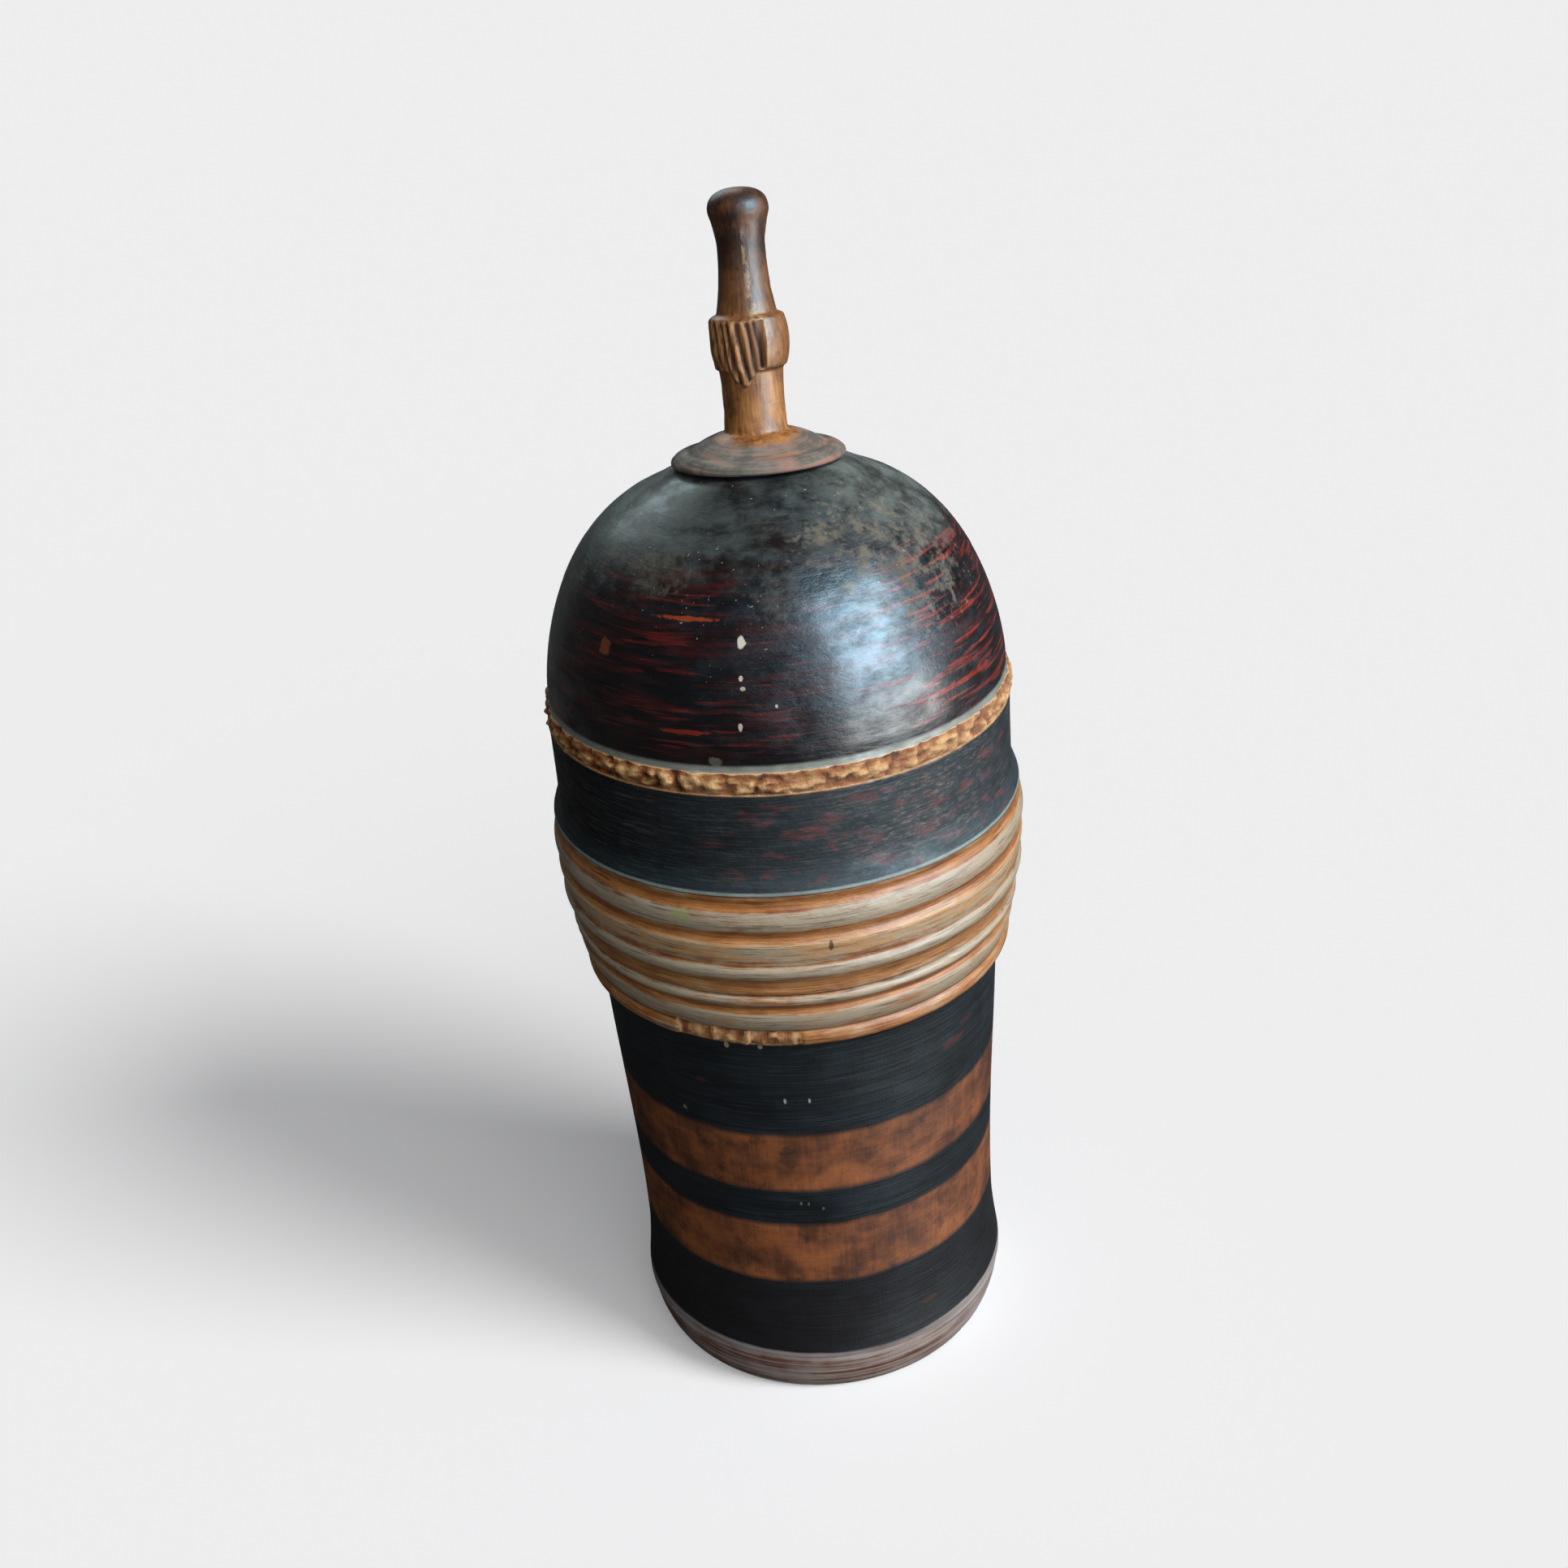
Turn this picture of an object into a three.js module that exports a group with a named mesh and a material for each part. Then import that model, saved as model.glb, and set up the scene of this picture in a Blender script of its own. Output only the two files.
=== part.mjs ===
// A tall box turned from wood: a body on a low foot, a domed lid that lifts off, and a slender finial
// let into the crown of the lid. The finial's collar, the bead below the dome and a stretch of the
// body's lip are broken away.
// Sizes are in millimetres. The box stands on z = 0, the axis of the lathe is Z and the front is -Y.

import * as THREE from 'three';

// How round the pieces are
const FACETS = 40;
const FINIAL_FACETS = 32;

// How the pieces fit
const REST_GAP = 0.3;
const RIM_CLEARANCE = 0.4;
const TENON_CLEARANCE = 0.3;

// The narrowest step of an edge or a quirk
const EDGE = 0.1;

// The foot
const WAIST_RADIUS = 39.6;
const FOOT_SPREAD = 1;
const FOOT_DRAW = 2.6;
const FOOT_HEIGHT = 8.2;
const FOOT_SWELL = 0.5;
const ANKLE_SPREAD = 1.2;
const ANKLE_HEIGHT = 3.2;
const ANKLE_SWELL = 0.15;
const ANKLE_CHAMFER = 0.5;

// The side of the body
const WAIST_RISE = 12.6;
const SIDE_HEIGHT = 60;
const SIDE_FLARE = 2.2;
const THROAT_HEIGHT = 10;
const THROAT_FLARE = 1;

// The mouldings at the mouth of the body
const LIP_SPREAD = 1.9;
const LIP_UNDERCUT = 0.8;
const LIP_HEIGHT = 3.1;
const LIP_SWELL = 0.3;
const LIP_QUIRK = 0.4;
const APRON_HEIGHT = 4.8;
const APRON_FLARE = 1.2;
const APRON_SWELL = 0.4;
const MOUTH_COVE_HEIGHT = 2.4;
const MOUTH_COVE_DEPTH = 0.7;
const MOUTH_BEAD_SPREAD = 0.5;
const MOUTH_BEAD_HEIGHT = 1.9;
const MOUTH_BEAD_SWELL = 0.3;

// The hollow of the body, and the inner rim that the lid goes over
const WALL = 6;
const FLOOR = 8;
const FLOOR_CORNER = 6;
const RIM_WALL = 3.2;
const RIM_HEIGHT = 5;
const RIM_CHAMFER = 0.6;

// The mouldings at the foot of the lid
const LID_COVE_HEIGHT = 4.6;
const LID_COVE_FLARE = 1.1;
const LID_COVE_DEPTH = 0.5;
const LID_BEAD_HEIGHT = 2.4;
const LID_BEAD_SWELL = 0.35;
const LID_QUIRK = 0.4;
const LID_SLANT_HEIGHT = 5.2;
const LID_SLANT_FLARE = 0.7;
const RING_GROOVE_HEIGHT = 2.7;
const RING_GROOVE_DEPTH = 0.7;
const RING_HEIGHT = 4.3;
const RING_SWELL = 0.4;
const RING_INSET = 0.3;
const BAND_COVE_HEIGHT = 2.8;
const BAND_COVE_DEPTH = 0.6;

// The dark band and the broken bead
const BAND_LIP_HEIGHT = 1;
const BAND_FLARE = 1.6;
const BAND_FLARE_HEIGHT = 6.5;
const BAND_FLARE_HOLLOW = 0.5;
const BAND_INSET = 0.3;
const BAND_HEIGHT = 12.7;
const BEAD_HEIGHT = 4.6;
const BEAD_RECESS = 0.7;

// The dome: a curve between an ellipse and a box, and the low cone that it turns over into
const DOME_INSET = 0.5;
const DOME_RISE = 41.8;
const DOME_SIDE_FULLNESS = 1.7;
const DOME_CROWN_FULLNESS = 3.25;
const CONE_RADIUS = 27;
const CONE_RISE = 5.6;
const CONE_SWELL = 0.15;
const LID_WALL = 7;
const CROWN_WALL = 12;

// The finial, from its tenon up
const TENON_RADIUS = 5;
const TENON_LENGTH = 7;
const DISC_RADIUS = 16.3;
const DISC_RIM_HEIGHT = 1.4;
const DISC_RIM_SWELL = 0.3;
const DISC_BEVEL_WIDTH = 2.2;
const DISC_BEVEL_RISE = 1.2;
const DISC_GROOVE_WIDTH = 1.2;
const DISC_GROOVE_DEPTH = 0.4;
const MOUND_RISE = 3;
const MOUND_SWELL = 0.4;
const STEM_RADIUS = 6;
const STEM_HEIGHT = 11.4;
const STEM_HOLLOW = 0.25;
const COLLAR_SPREAD = 0.8;
const COLLAR_SHOULDER = 0.5;
const COLLAR_SWELL = 0.7;
const COLLAR_HEIGHT = 10;
const SHAFT_RADIUS = 5.6;
const SHAFT_HEIGHT = 12;
const NECK_RADIUS = 4.4;
const KNOB_RADIUS = 5.6;
const KNOB_RISE = 6.1;
const KNOB_CROWN = 3.8;
const KNOB_FULLNESS = 2.4;
const KNOB_SWELL = -0.15;

// How far the crown of the lid slopes back, and the finial leans back on it, so that its disc stands
// a little open at the front
const CROWN_SLOPE = THREE.MathUtils.degToRad(4.4);
const LEAN = THREE.MathUtils.degToRad(5.6);

// Where the wood has broken away: how deep, and between which angles from the front, positive
// towards +X
const LIP_BREAK = { depth: 1.2, from: -36, to: 1 };
const COLLAR_BREAK = { depth: 0.8, from: -75, to: 20 };
const BEAD_CRAG = 1.3;

// The half section of a turned piece, drawn from the axis out, up the outside and back to the axis.
class HalfSection {
  constructor(z) {
    this.points = [new THREE.Vector2(0, z)];
  }

  get end() {
    return this.points[this.points.length - 1];
  }

  // Straight to a radius and a height.
  to(radius, z) {
    this.points.push(new THREE.Vector2(radius, z));
    return this;
  }

  // Straight by a step out and a step up.
  by(out, up) {
    return this.to(this.end.x + out, this.end.y + up);
  }

  // A round member by a step out and a step up. It stands out from the straight line between its
  // ends by the swell, or is hollow where the swell is negative.
  round(out, up, swell, steps) {
    const start = this.end;
    const along = new THREE.Vector2(out, up);
    const outward = new THREE.Vector2(up, -out).normalize();
    for (let i = 1; i <= steps; i++) {
      const t = i / steps;
      const stand = 4 * swell * t * (1 - t);
      this.to(start.x + along.x * t + outward.x * stand, start.y + along.y * t + outward.y * stand);
    }
    return this;
  }

  // The side of a dome that springs here and would close at a rise above, as far in as a radius.
  // Fullness 2 makes an ellipse, and more of it a squarer shoulder.
  dome(rise, crownFullness, sideFullness, toRadius, steps) {
    const start = this.end;
    const last = Math.acos((toRadius / start.x) ** (crownFullness / 2));
    for (let i = 1; i <= steps; i++) {
      const angle = last * (i / steps);
      const radius = start.x * Math.cos(angle) ** (2 / crownFullness);
      this.to(i < steps ? radius : toRadius, start.y + rise * Math.sin(angle) ** (2 / sideFullness));
    }
    return this;
  }
}

// A fixed value between 0 and 1 for each whole number, uneven from one to the next.
function uneven(n) {
  const value = Math.sin(n * 12.9898 + 4.1) * 43758.5453;
  return value - Math.floor(value);
}

// The piece that a half section sweeps out. The wear function says how much is broken away at a
// radius, a height, an angle from the front in degrees and the number of the facet edge there.
function turn(section, facets, wear) {
  const geometry = new THREE.LatheGeometry(section.points, facets);
  geometry.rotateX(Math.PI / 2);
  const position = geometry.getAttribute('position');
  for (let i = 0; i < position.count; i++) {
    const x = position.getX(i);
    const y = position.getY(i);
    const radius = Math.hypot(x, y);
    if (radius < EDGE) {
      continue;
    }
    const angle = THREE.MathUtils.radToDeg(Math.atan2(x, -y));
    const facet = (Math.round((angle / 360) * facets) + facets) % facets;
    const left = 1 - wear(radius, position.getZ(i), angle, facet) / radius;
    position.setXY(i, x * left, y * left);
  }
  geometry.computeVertexNormals();
  return geometry;
}

// How much is gone at a facet edge from a stretch that has broken away raggedly.
function ragged(damage, angle, facet) {
  if (angle < damage.from || angle > damage.to) {
    return 0;
  }
  return damage.depth * (0.6 + 0.4 * uneven(facet));
}

function named(name, geometry, color, roughness) {
  const material = new THREE.MeshStandardMaterial({ color, roughness, metalness: 0 });
  const mesh = new THREE.Mesh(geometry, material);
  mesh.name = name;
  return mesh;
}

// The body

const footRadius = WAIST_RADIUS + FOOT_SPREAD;
const ankleRadius = WAIST_RADIUS + ANKLE_SPREAD;
const waistHeight = FOOT_HEIGHT + ANKLE_HEIGHT + WAIST_RISE;
const throatRadius = WAIST_RADIUS + SIDE_FLARE + THROAT_FLARE;
const lipBottom = waistHeight + SIDE_HEIGHT + THROAT_HEIGHT;
const lipRadius = throatRadius + LIP_SPREAD;
const lipTop = lipBottom + LIP_UNDERCUT + LIP_HEIGHT;
const mouthRadius = lipRadius + APRON_FLARE + MOUTH_BEAD_SPREAD;
const mouthHeight = lipTop + APRON_HEIGHT + MOUTH_COVE_HEIGHT + MOUTH_BEAD_HEIGHT;
const boreRadius = WAIST_RADIUS - WALL;
const rimInnerRadius = boreRadius + SIDE_FLARE;
const rimOuterRadius = rimInnerRadius + RIM_WALL;
const rimTop = mouthHeight + RIM_HEIGHT;
const cornerSwell = -FLOOR_CORNER * (1 - Math.SQRT1_2);

const bodySection = new HalfSection(0);
bodySection
  .to(footRadius - FOOT_DRAW, 0)
  .round(FOOT_DRAW, FOOT_HEIGHT, FOOT_SWELL, 4)
  .to(ankleRadius, FOOT_HEIGHT + ANKLE_CHAMFER)
  .round(0, ANKLE_HEIGHT - ANKLE_CHAMFER, ANKLE_SWELL, 3)
  .round(-ANKLE_SPREAD, WAIST_RISE, -ANKLE_SWELL, 3)
  .by(SIDE_FLARE, SIDE_HEIGHT)
  .round(THROAT_FLARE, THROAT_HEIGHT, -ANKLE_SWELL, 3)
  .by(LIP_SPREAD, LIP_UNDERCUT)
  .round(0, LIP_HEIGHT, LIP_SWELL, 3)
  .by(-LIP_QUIRK, EDGE)
  .round(APRON_FLARE + LIP_QUIRK, APRON_HEIGHT - EDGE, APRON_SWELL, 4)
  .round(MOUTH_BEAD_SPREAD, MOUTH_COVE_HEIGHT, -MOUTH_COVE_DEPTH, 4)
  .round(0, MOUTH_BEAD_HEIGHT, MOUTH_BEAD_SWELL, 3)
  .to(rimOuterRadius, mouthHeight)
  .to(rimOuterRadius, rimTop - RIM_CHAMFER)
  .to(rimOuterRadius - RIM_CHAMFER, rimTop)
  .to(rimInnerRadius, rimTop)
  .to(boreRadius, FLOOR + FLOOR_CORNER)
  .round(-FLOOR_CORNER, -FLOOR_CORNER, cornerSwell, 4)
  .to(0, FLOOR);

function bodyWear(radius, z, angle, facet) {
  const onLip = radius > throatRadius + EDGE && z > lipBottom && z < lipTop + EDGE / 2;
  return onLip ? ragged(LIP_BREAK, angle, facet) : 0;
}

// The lid

const lidFoot = mouthHeight + REST_GAP;
const lidBeadRadius = mouthRadius + LID_COVE_FLARE;
const ringRadius = lidBeadRadius + LID_SLANT_FLARE - RING_INSET;
const bandRadius = mouthRadius - BAND_INSET;
const bandBottom = lidFoot + LID_COVE_HEIGHT + LID_BEAD_HEIGHT + LID_SLANT_HEIGHT
  + RING_GROOVE_HEIGHT + RING_HEIGHT + BAND_COVE_HEIGHT;
const beadBottom = bandBottom + BAND_LIP_HEIGHT + BAND_FLARE_HEIGHT + BAND_HEIGHT;
const domeBottom = beadBottom + BEAD_HEIGHT;
const domeRadius = bandRadius - DOME_INSET;
const innerDomeRadius = domeRadius - LID_WALL;
const tenonHoleRadius = TENON_RADIUS + TENON_CLEARANCE + (TENON_LENGTH + DISC_RADIUS * LEAN) * Math.tan(LEAN);

// The inside, drawn from its mouth up, and turned round to run from the axis out
const lidInside = new HalfSection(domeBottom);
lidInside
  .to(innerDomeRadius, domeBottom)
  .dome(DOME_RISE - CROWN_WALL, DOME_CROWN_FULLNESS, DOME_SIDE_FULLNESS, 0, 8);

const lidSection = new HalfSection(lidInside.end.y);
for (const point of lidInside.points.slice(1, -1).reverse()) {
  lidSection.to(point.x, point.y);
}
lidSection
  .to(innerDomeRadius, rimTop + REST_GAP)
  .to(rimOuterRadius + RIM_CLEARANCE, rimTop + REST_GAP)
  .to(rimOuterRadius + RIM_CLEARANCE, lidFoot)
  .to(mouthRadius, lidFoot)
  .round(LID_COVE_FLARE, LID_COVE_HEIGHT, -LID_COVE_DEPTH, 3)
  .round(0, LID_BEAD_HEIGHT, LID_BEAD_SWELL, 3)
  .by(-LID_QUIRK, EDGE)
  .by(LID_QUIRK / 2, EDGE)
  .to(lidBeadRadius + LID_SLANT_FLARE, lidFoot + LID_COVE_HEIGHT + LID_BEAD_HEIGHT + LID_SLANT_HEIGHT)
  .round(-RING_INSET, RING_GROOVE_HEIGHT, -RING_GROOVE_DEPTH, 4)
  .round(0, RING_HEIGHT, RING_SWELL, 4)
  .round(bandRadius + BAND_FLARE - ringRadius, BAND_COVE_HEIGHT, -BAND_COVE_DEPTH, 4)
  .by(0, BAND_LIP_HEIGHT)
  .round(-BAND_FLARE, BAND_FLARE_HEIGHT, -BAND_FLARE_HOLLOW, 4)
  .by(0, BAND_HEIGHT)
  .by(-BEAD_RECESS, EDGE)
  .by(0, BEAD_HEIGHT / 3)
  .by(0, BEAD_HEIGHT / 3)
  .by(0, BEAD_HEIGHT / 3 - 2 * EDGE)
  .to(domeRadius, domeBottom)
  .dome(DOME_RISE, DOME_CROWN_FULLNESS, DOME_SIDE_FULLNESS, CONE_RADIUS, 9);
const coneFoot = lidSection.end.y;
const seatHeight = coneFoot + CONE_RISE;
lidSection.round(DISC_RADIUS - CONE_RADIUS, CONE_RISE, CONE_SWELL, 2);
lidSection
  .to(tenonHoleRadius, seatHeight)
  .to(tenonHoleRadius, seatHeight - TENON_LENGTH - TENON_CLEARANCE)
  .to(0, seatHeight - TENON_LENGTH - TENON_CLEARANCE);

function lidWear(radius, z, angle, facet) {
  const onBead = radius > innerDomeRadius + EDGE && z > beadBottom + EDGE / 2 && z < domeBottom - EDGE / 2;
  const row = Math.round((z - beadBottom) / (BEAD_HEIGHT / 3));
  return onBead ? -BEAD_CRAG * uneven(facet * 4 + row) : 0;
}

// The seat slopes back as one flat face, and the cone round it less and less towards its foot.
const lid = named('lid', turn(lidSection, FACETS, lidWear), 0x241a1a, 0.35);
const lidPosition = lid.geometry.getAttribute('position');
for (let i = 0; i < lidPosition.count; i++) {
  const y = lidPosition.getY(i);
  const z = lidPosition.getZ(i);
  if (z > coneFoot + EDGE) {
    const radius = Math.hypot(lidPosition.getX(i), y);
    const share = Math.min(1, (CONE_RADIUS - radius) / (CONE_RADIUS - DISC_RADIUS));
    lidPosition.setZ(i, z - y * Math.tan(CROWN_SLOPE) * share);
  }
}

// The finial

const discBottom = seatHeight + REST_GAP;
const bevelTop = discBottom + DISC_RIM_HEIGHT + DISC_BEVEL_RISE;
const stemFoot = bevelTop + MOUND_RISE;
const collarFoot = stemFoot + STEM_HEIGHT;
const collarTop = collarFoot + COLLAR_HEIGHT;
const moundRadius = DISC_RADIUS - DISC_BEVEL_WIDTH - DISC_GROOVE_WIDTH;

const finialSection = new HalfSection(seatHeight - TENON_LENGTH);
finialSection
  .to(TENON_RADIUS, seatHeight - TENON_LENGTH)
  .to(TENON_RADIUS, discBottom)
  .to(DISC_RADIUS, discBottom)
  .round(0, DISC_RIM_HEIGHT, DISC_RIM_SWELL, 4)
  .by(-DISC_BEVEL_WIDTH, DISC_BEVEL_RISE)
  .by(-DISC_GROOVE_WIDTH / 2, -DISC_GROOVE_DEPTH)
  .by(-DISC_GROOVE_WIDTH / 2, DISC_GROOVE_DEPTH)
  .round(STEM_RADIUS - moundRadius, MOUND_RISE, MOUND_SWELL, 4)
  .round(0, STEM_HEIGHT, -STEM_HOLLOW, 3)
  .by(COLLAR_SPREAD, COLLAR_SHOULDER)
  .round(0, COLLAR_HEIGHT - 2 * COLLAR_SHOULDER, COLLAR_SWELL, 4)
  .to(SHAFT_RADIUS, collarTop)
  .by(NECK_RADIUS - SHAFT_RADIUS, SHAFT_HEIGHT)
  .round(KNOB_RADIUS - NECK_RADIUS, KNOB_RISE, KNOB_SWELL, 3)
  .dome(KNOB_CROWN, KNOB_FULLNESS, KNOB_FULLNESS, 0, 5);

function finialWear(radius, z, angle, facet) {
  const onCollar = z > collarFoot + EDGE && z < collarTop - EDGE;
  return onCollar ? ragged(COLLAR_BREAK, angle, facet) : 0;
}

// It leans about the back edge of its disc, which is let down with the seat.
const finial = named('finial', turn(finialSection, FINIAL_FACETS, finialWear), 0x8a4f26, 0.5);
finial.geometry.translate(0, -DISC_RADIUS, -discBottom);
finial.position.set(0, DISC_RADIUS, discBottom - DISC_RADIUS * Math.tan(CROWN_SLOPE));
finial.rotation.x = -LEAN;

const box = new THREE.Group();
box.add(named('body', turn(bodySection, FACETS, bodyWear), 0x4a2a1c, 0.45));
box.add(lid);
box.add(finial);

export default box;
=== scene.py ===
# %% [markdown]
# This is a tall box turned from wood on a lathe: a body, a domed lid that lifts off, and a slender
# finial let into the crown. It is lacquered dark in bands, its mouldings are rubbed to the bare wood,
# and age has broken its collar, the bead below its dome and a stretch of its lip.
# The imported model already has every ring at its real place. So each fine piece here reads its outline
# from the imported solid, and only adds what a lathe, a brush and long use have left on it.

# %% The frame
import math
import random

import bmesh
import bpy
from mathutils import Matrix, Vector, noise


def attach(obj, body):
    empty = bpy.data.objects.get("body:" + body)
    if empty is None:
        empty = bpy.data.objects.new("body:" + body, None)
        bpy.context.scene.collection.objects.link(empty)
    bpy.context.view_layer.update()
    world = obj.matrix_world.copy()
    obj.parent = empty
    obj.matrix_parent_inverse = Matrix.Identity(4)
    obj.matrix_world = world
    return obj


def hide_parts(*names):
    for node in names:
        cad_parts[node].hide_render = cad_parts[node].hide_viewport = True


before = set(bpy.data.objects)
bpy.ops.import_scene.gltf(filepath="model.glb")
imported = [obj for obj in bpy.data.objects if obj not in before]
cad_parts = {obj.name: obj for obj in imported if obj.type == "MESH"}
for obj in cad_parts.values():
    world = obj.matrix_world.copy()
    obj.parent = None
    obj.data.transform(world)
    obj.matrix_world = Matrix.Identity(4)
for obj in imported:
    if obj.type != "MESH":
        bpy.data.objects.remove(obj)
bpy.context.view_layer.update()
MM = 0.001
print("packed solids:", sorted(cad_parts))

# %% [markdown]
# A turner knows a piece by its half section, from the axis out and back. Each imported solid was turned
# from one, so it can be read back from the solid: the edges that lie in one plane through the axis, at
# the right side, where nothing is broken, form a chain from one end of the axis to the other. The
# finial leans, so it is stood upright before it is read.

# %% Reading a half section
WELD = 1e-7
ON_PLANE = 2e-5
LEAN = math.radians(5.6)
# A point nearer to the axis than this, in mm, lies on it
AXIS = 0.01


def meridian(name, lean=0.0):
    """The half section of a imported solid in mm, from its lower axis point, and its axis's place in Y."""
    solid = bmesh.new()
    solid.from_mesh(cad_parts[name].data)
    bmesh.ops.remove_doubles(solid, verts=solid.verts, dist=WELD)
    bmesh.ops.rotate(solid, verts=solid.verts, cent=(0, 0, 0), matrix=Matrix.Rotation(lean, 3, "X"))
    depths = [v.co.y for v in solid.verts]
    middle = (min(depths) + max(depths)) / 2 if lean else 0.0
    near = {v for v in solid.verts if abs(v.co.y - middle) < ON_PLANE and v.co.x > -ON_PLANE}
    here = min((v for v in near if v.co.x < ON_PLANE), key=lambda v: v.co.z)
    chain = [here]
    while here:
        beside = [e.other_vert(here) for e in here.link_edges]
        onward = [v for v in beside if v in near and v not in chain]
        here = onward[0] if onward else None
        chain += onward[:1]
    section = [(abs(v.co.x) / MM, v.co.z / MM) for v in chain]
    solid.free()
    return [(0.0 if r < AXIS else r, z) for r, z in section], middle


sections = {}
for name, lean in (("body", 0.0), ("lid", 0.0), ("finial", LEAN)):
    sections[name] = meridian(name, lean)
    print(name, "half section:", len(sections[name][0]), "points")

# %% [markdown]
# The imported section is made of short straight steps. Where two of them meet at a small angle they
# stand for a curve, and where they meet at a large one it is a real arris. So each step is bent into
# a small cubic arc whose ends follow its neighbours, except at an arris, and then the arrises are
# rubbed slightly round, as they are on every old turning.

# %% Fairing a half section
ARRIS = math.radians(38)
HIDDEN_STEP = 3.0
RUB = 0.12
RUB_PASSES = 3
# How far along a section its crests are looked for, and how far a full crest stands out, in mm
CREST_REACH = 1.6
CREST_STEPS = 12
CREST_HEIGHT = 0.38


def fair(points, step_at):
    """The section in fine steps, round where it was meant round, with its arrises kept."""
    points = [Vector(p) for p in points]
    ways = [(b - a).normalized() for a, b in zip(points, points[1:])]
    joint = [None]
    for before, after in zip(ways, ways[1:]):
        joint.append((before + after).normalized() if before.angle(after) < ARRIS else None)
    joint.append(None)
    fine = [points[0]]
    for i, way in enumerate(ways):
        a, b = points[i], points[i + 1]
        start, end = joint[i], joint[i + 1]
        if start is None:
            start = end.reflect(Vector((-way.y, way.x))) if end else way
        if end is None:
            end = start.reflect(Vector((-way.y, way.x)))
        length = (b - a).length
        step = step_at(a.y) if b.y > a.y + WELD else HIDDEN_STEP
        count = max(1, math.ceil(length / step))
        for k in range(1, count + 1):
            t = k / count
            fine.append(
                a * (2 * t**3 - 3 * t**2 + 1) + b * (3 * t**2 - 2 * t**3)
                + start * (length * (t**3 - 2 * t**2 + t)) + end * (length * (t**3 - t**2))
            )
    for _ in range(RUB_PASSES):
        moves = [(a + c) / 2 - b for a, b, c in zip(fine, fine[1:], fine[2:])]
        for i, move in enumerate(moves, 1):
            if move.length > WELD:
                fine[i] = fine[i] + move.normalized() * min(RUB, move.length / 2)
    return fine


def crests(section):
    """How far each point of a section stands out from those near it: 1 on a crest, -1 in a hollow."""
    values = []
    for i, p in enumerate(section):
        beside = section[max(0, i - CREST_STEPS):i + CREST_STEPS + 1]
        near = [q for q in beside if (q - p).length < CREST_REACH]
        mean = sum(near, Vector((0, 0))) / len(near)
        way = section[min(i + 1, len(section) - 1)] - section[max(i - 1, 0)]
        out = Vector((way.y, -way.x)).normalized()
        values.append(max(-1.0, min(1.0, (p - mean).dot(out) / CREST_HEIGHT)))
    return values


# %% [markdown]
# One function turns every piece, as one lathe turned them all. The section goes into a bmesh as a
# chain of vertices and edges, spin sweeps it right round the axis and joins the seam, and the poles
# close when the doubles are merged. How much each ring stands out is kept on its vertices, so that
# the crests can be painted pale, as wear and partly as a painted reflection, and the hollows darker
# as painted shade. Then a function of the piece's own carves the wear into it.

# %% Turning a piece
MERGE = 0.001


def turn(name, section, turns, wear):
    """A bmesh in mm of a section swept round the axis. wear moves each vertex and says how raw it is."""
    piece = bmesh.new()
    crest = piece.verts.layers.float.new("crest")
    raw = piece.verts.layers.float.new("raw")
    chain = [piece.verts.new((0, -p.x, p.y)) for p in section]
    for vert, value in zip(chain, crests(section)):
        vert[crest] = value
    edges = [piece.edges.new(pair) for pair in zip(chain, chain[1:])]
    bmesh.ops.spin(
        piece, geom=chain + edges, cent=(0, 0, 0), axis=(0, 0, 1), dvec=(0, 0, 0),
        angle=math.tau, steps=turns, use_merge=True,
    )
    bmesh.ops.remove_doubles(piece, verts=piece.verts, dist=MERGE)
    for vert in piece.verts:
        radius = math.hypot(vert.co.x, vert.co.y)
        if radius < AXIS:
            continue
        angle = math.degrees(math.atan2(vert.co.x, -vert.co.y))
        out, vert[raw] = wear(angle, radius, vert.co.z, vert[crest], vert.co)
        vert.co.x *= 1 + out / radius
        vert.co.y *= 1 + out / radius
    bmesh.ops.recalc_face_normals(piece, faces=piece.faces)
    print(name, "has", len(piece.faces), "faces")
    return piece


def finished(name, piece, material):
    """Makes the object from a turned bmesh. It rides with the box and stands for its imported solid."""
    bmesh.ops.scale(piece, vec=(MM, MM, MM), verts=piece.verts)
    mesh = bpy.data.meshes.new(name)
    for face in piece.faces:
        face.smooth = True
    piece.to_mesh(mesh)
    piece.free()
    mesh.materials.append(material)
    made = bpy.data.objects.new(name, mesh)
    bpy.context.scene.collection.objects.link(made)
    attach(made, "root")
    node = name.removeprefix("turned_")
    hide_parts(node)


# %% [markdown]
# Wear is never even. These helpers give it: soft windows that fade at both ends, smooth noise that
# is the same in every run, nicks on the crests, and the slight drawing in of seasoned wood.

# %% Helpers for wear
# A nick's size across and along the axis in mm, and how high the noise stands before there is one
NICK_SIZE = (3.1, 1.7)
NICK_FLOOR = 0.28
# How far the wood of body and lid has drawn in on average, in mm
SHRUNK = 0.07


def rise(value, low, high):
    """0 below low and 1 above high, with a smooth way between."""
    t = max(0.0, min(1.0, (value - low) / (high - low)))
    return t * t * (3 - 2 * t)


def window(value, low, high, fade):
    """1 between low and high, fading to 0 over a fade outside them."""
    return rise(value, low - fade, low) * (1 - rise(value, high, high + fade))


def fuzz(point, across, along=None, shift=0.0):
    """Smooth noise from about -1 to 1, with lumps of a size across and a size along the axis, in mm."""
    along = along or across
    return noise.noise(Vector((point.x / across + shift, point.y / across, point.z / along)))


def nicks(point, crest, depth):
    """Small dents on the crests of the mouldings."""
    hit = max(0.0, fuzz(point, *NICK_SIZE, 7.0) - NICK_FLOOR) * 2
    return depth * hit * max(0.0, crest)


def shrinking(point, depth, lump, shift=0.0):
    """How far the wood has drawn in at a point, unevenly, in lumps of a size in mm."""
    return depth * (1 + fuzz(point, lump, None, shift))


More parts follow.
